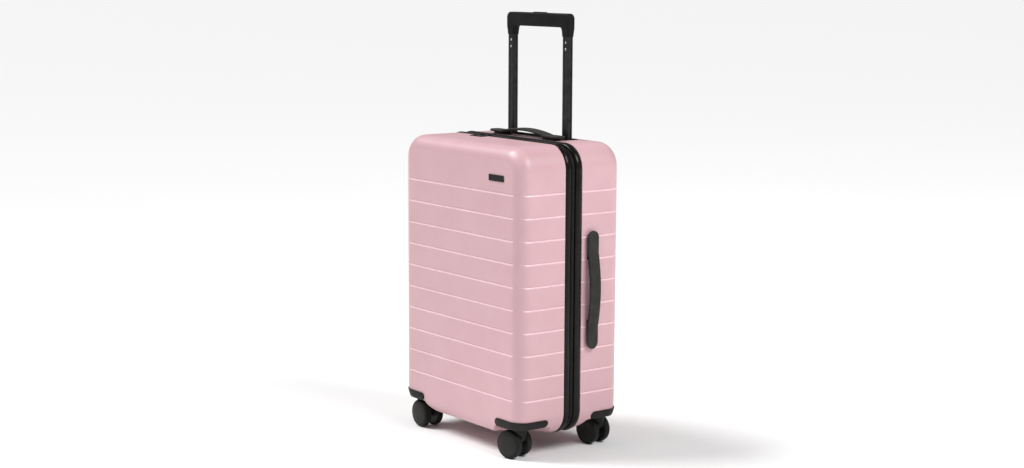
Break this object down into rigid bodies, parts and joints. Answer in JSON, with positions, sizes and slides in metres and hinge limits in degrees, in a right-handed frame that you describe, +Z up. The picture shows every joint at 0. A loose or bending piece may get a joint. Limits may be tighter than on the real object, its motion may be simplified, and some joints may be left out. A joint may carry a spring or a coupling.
{
  "type": "hard shell suitcase on wheels",
  "caption": "Upright hard shell suitcase with grooved shell halves that hinge open, zip band, telescoping handle, carry handles, dial lock and twin-wheel casters.",
  "frame": {"origin": "on the floor, under the centre of the bounding box, wheels on the floor", "axes": "+Z up, +X to the case's right towards the side handle, -Y out of the front face"},
  "size_m": [0.3846, 0.2312, 0.7782],
  "materials": {
    "pink_shell": "satin moulded polycarbonate, pale pink",
    "gloss_trim": "glossy black bead",
    "black_plastic": "fine-textured black plastic",
    "soft_grip": "matt soft-touch black",
    "tube_alloy": "black anodised",
    "wheel_tread": "dark grey moulded polyurethane",
    "steel": "plain steel",
    "zip_tape": "woven black tape",
    "zip_metal": "black lacquered zinc",
    "lining": "woven grey lining"
  },
  "bodies": {
    "case": {"rear_shell": "pink_shell", "rear_lining": "lining", "rear_bead": "gloss_trim", "rear_zip_tape": "zip_tape", "guard_rear_left": "black_plastic", "guard_rear_right": "black_plastic", "hinge_strip": "zip_tape", "outer_tube_left": "tube_alloy", "outer_tube_right": "tube_alloy", "trolley_bracket": "black_plastic", "trolley_cup": "black_plastic", "side_handle_mount_a": "black_plastic", "side_handle_mount_b": "black_plastic", "top_handle_mount_a": "black_plastic", "top_handle_mount_b": "black_plastic", "packing_straps": "zip_tape", "strap_buckle": "black_plastic"},
    "lid": {"front_shell": "pink_shell", "front_lining": "lining", "front_bead": "gloss_trim", "front_zip_tape": "zip_tape", "guard_front_left": "black_plastic", "guard_front_right": "black_plastic", "badge": "black_plastic", "lock_body": "black_plastic"},
    "dial_1": {"lock_dial_1": "steel"},
    "dial_2": {"lock_dial_2": "steel"},
    "dial_3": {"lock_dial_3": "steel"},
    "lock_button": {"lock_release": "black_plastic"},
    "trolley_middle": {"middle_tube_left": "tube_alloy", "middle_tube_right": "tube_alloy"},
    "trolley_top": {"inner_tube_left": "tube_alloy", "inner_tube_right": "tube_alloy", "grip": "soft_grip"},
    "trolley_button": {"release_button": "black_plastic"},
    "push_rods": {"push_rod_yoke": "steel"},
    "pins": {"locking_pin_left": "steel", "locking_pin_right": "steel"},
    "side_carry_handle": {"side_handle": "soft_grip"},
    "top_carry_handle": {"top_handle": "soft_grip"},
    "slider_right": {"zip_slider_right": "zip_metal"},
    "slider_left": {"zip_slider_left": "zip_metal"},
    "pull_right": {"zip_pull_right": "zip_metal"},
    "pull_left": {"zip_pull_left": "zip_metal"},
    "caster_front_right": {"fork_front_right": "black_plastic", "axle_front_right": "steel"},
    "wheel_a_front_right": {"wheel_a_front_right": "wheel_tread"},
    "wheel_b_front_right": {"wheel_b_front_right": "wheel_tread"},
    "caster_front_left": {"fork_front_left": "black_plastic", "axle_front_left": "steel"},
    "wheel_a_front_left": {"wheel_a_front_left": "wheel_tread"},
    "wheel_b_front_left": {"wheel_b_front_left": "wheel_tread"},
    "caster_rear_right": {"fork_rear_right": "black_plastic", "axle_rear_right": "steel"},
    "wheel_a_rear_right": {"wheel_a_rear_right": "wheel_tread"},
    "wheel_b_rear_right": {"wheel_b_rear_right": "wheel_tread"},
    "caster_rear_left": {"fork_rear_left": "black_plastic", "axle_rear_left": "steel"},
    "wheel_a_rear_left": {"wheel_a_rear_left": "wheel_tread"},
    "wheel_b_rear_left": {"wheel_b_rear_left": "wheel_tread"}
  },
  "joints": [
    {"name": "lid_hinge", "type": "hinge", "parent": "case", "child": "lid", "pos_m": [-0.1932, 0.0026, 0.29], "axis": [0, 0, -1], "range_deg": [0, 180]},
    {"name": "swivel_front_right", "type": "hinge", "parent": "lid", "child": "caster_front_right", "pos_m": [0.142, -0.0885, 0.06], "axis": [0, 0, 1], "continuous": true},
    {"name": "spin_a_front_right", "type": "hinge", "parent": "caster_front_right", "child": "wheel_a_front_right", "pos_m": [0.13274, -0.09064, 0.0255], "axis": [-0.225, 0.9744, 0], "continuous": true},
    {"name": "spin_b_front_right", "type": "hinge", "parent": "caster_front_right", "child": "wheel_b_front_right", "pos_m": [0.13274, -0.09064, 0.0255], "axis": [-0.225, 0.9744, 0], "continuous": true},
    {"name": "swivel_front_left", "type": "hinge", "parent": "lid", "child": "caster_front_left", "pos_m": [-0.156, -0.0885, 0.06], "axis": [0, 0, 1], "continuous": true},
    {"name": "spin_a_front_left", "type": "hinge", "parent": "caster_front_left", "child": "wheel_a_front_left", "pos_m": [-0.1465, -0.0885, 0.0255], "axis": [0, -1, 0], "continuous": true},
    {"name": "spin_b_front_left", "type": "hinge", "parent": "caster_front_left", "child": "wheel_b_front_left", "pos_m": [-0.1465, -0.0885, 0.0255], "axis": [0, -1, 0], "continuous": true},
    {"name": "swivel_rear_right", "type": "hinge", "parent": "case", "child": "caster_rear_right", "pos_m": [0.142, 0.0885, 0.06], "axis": [0, 0, 1], "continuous": true},
    {"name": "spin_a_rear_right", "type": "hinge", "parent": "caster_rear_right", "child": "wheel_a_rear_right", "pos_m": [0.13254, 0.08767, 0.0255], "axis": [-0.0872, 0.9962, 0], "continuous": true},
    {"name": "spin_b_rear_right", "type": "hinge", "parent": "caster_rear_right", "child": "wheel_b_rear_right", "pos_m": [0.13254, 0.08767, 0.0255], "axis": [-0.0872, 0.9962, 0], "continuous": true},
    {"name": "swivel_rear_left", "type": "hinge", "parent": "case", "child": "caster_rear_left", "pos_m": [-0.156, 0.0885, 0.06], "axis": [0, 0, 1], "continuous": true},
    {"name": "spin_a_rear_left", "type": "hinge", "parent": "caster_rear_left", "child": "wheel_a_rear_left", "pos_m": [-0.14659, 0.08718, 0.0255], "axis": [-0.1392, -0.9903, 0], "continuous": true},
    {"name": "spin_b_rear_left", "type": "hinge", "parent": "caster_rear_left", "child": "wheel_b_rear_left", "pos_m": [-0.14659, 0.08718, 0.0255], "axis": [-0.1392, -0.9903, 0], "continuous": true},
    {"name": "trolley_middle_slide", "type": "slide", "parent": "case", "child": "trolley_middle", "axis": [0, 0, 1], "range_m": [0, 0.205]},
    {"name": "trolley_top_slide", "type": "slide", "parent": "trolley_middle", "child": "trolley_top", "axis": [0, 0, 1], "range_m": [-0.225, 0]},
    {"name": "trolley_button_press", "type": "slide", "parent": "trolley_top", "child": "trolley_button", "axis": [0, 0, -1], "range_m": [0, 0.004], "stiffness_N_per_m": 400},
    {"name": "push_rods_slide", "type": "slide", "parent": "trolley_top", "child": "push_rods", "axis": [0, 0, -1], "range_m": [0, 0.004]},
    {"name": "pins_retract", "type": "slide", "parent": "trolley_top", "child": "pins", "axis": [0, 1, 0], "range_m": [0, 0.0024]},
    {"name": "side_handle_pull", "type": "slide", "parent": "case", "child": "side_carry_handle", "axis": [1, 0, 0], "range_m": [0, 0.005], "stiffness_N_per_m": 2000},
    {"name": "top_handle_pull", "type": "slide", "parent": "case", "child": "top_carry_handle", "axis": [0, 0, 1], "range_m": [0, 0.005], "stiffness_N_per_m": 2000},
    {"name": "slider_right_slide", "type": "slide", "parent": "case", "child": "slider_right", "axis": [1, 0, 0], "range_m": [0, 0.18]},
    {"name": "slider_left_slide", "type": "slide", "parent": "case", "child": "slider_left", "axis": [-1, 0, 0], "range_m": [0, 0.06]},
    {"name": "pull_right_swing", "type": "hinge", "parent": "slider_right", "child": "pull_right", "pos_m": [-0.058, 0.0026, 0.5545], "axis": [-1, 0, 0], "range_deg": [0, 165]},
    {"name": "pull_left_swing", "type": "hinge", "parent": "slider_left", "child": "pull_left", "pos_m": [-0.082, 0.0026, 0.5545], "axis": [-1, 0, 0], "range_deg": [0, 165]},
    {"name": "dial_1_turn", "type": "hinge", "parent": "lid", "child": "dial_1", "pos_m": [-0.0695, -0.026, 0.5488], "axis": [1, 0, 0], "continuous": true},
    {"name": "dial_2_turn", "type": "hinge", "parent": "lid", "child": "dial_2", "pos_m": [-0.065, -0.026, 0.5488], "axis": [1, 0, 0], "continuous": true},
    {"name": "dial_3_turn", "type": "hinge", "parent": "lid", "child": "dial_3", "pos_m": [-0.0605, -0.026, 0.5488], "axis": [1, 0, 0], "continuous": true},
    {"name": "lock_button_slide", "type": "slide", "parent": "lid", "child": "lock_button", "axis": [-1, 0, 0], "range_m": [0, 0.0026], "stiffness_N_per_m": 300}
  ],
  "couplings": [
    {"joint": "push_rods_slide", "follows": "trolley_button_press", "ratio": 1},
    {"joint": "pins_retract", "follows": "trolley_button_press", "ratio": 0.6}
  ]
}
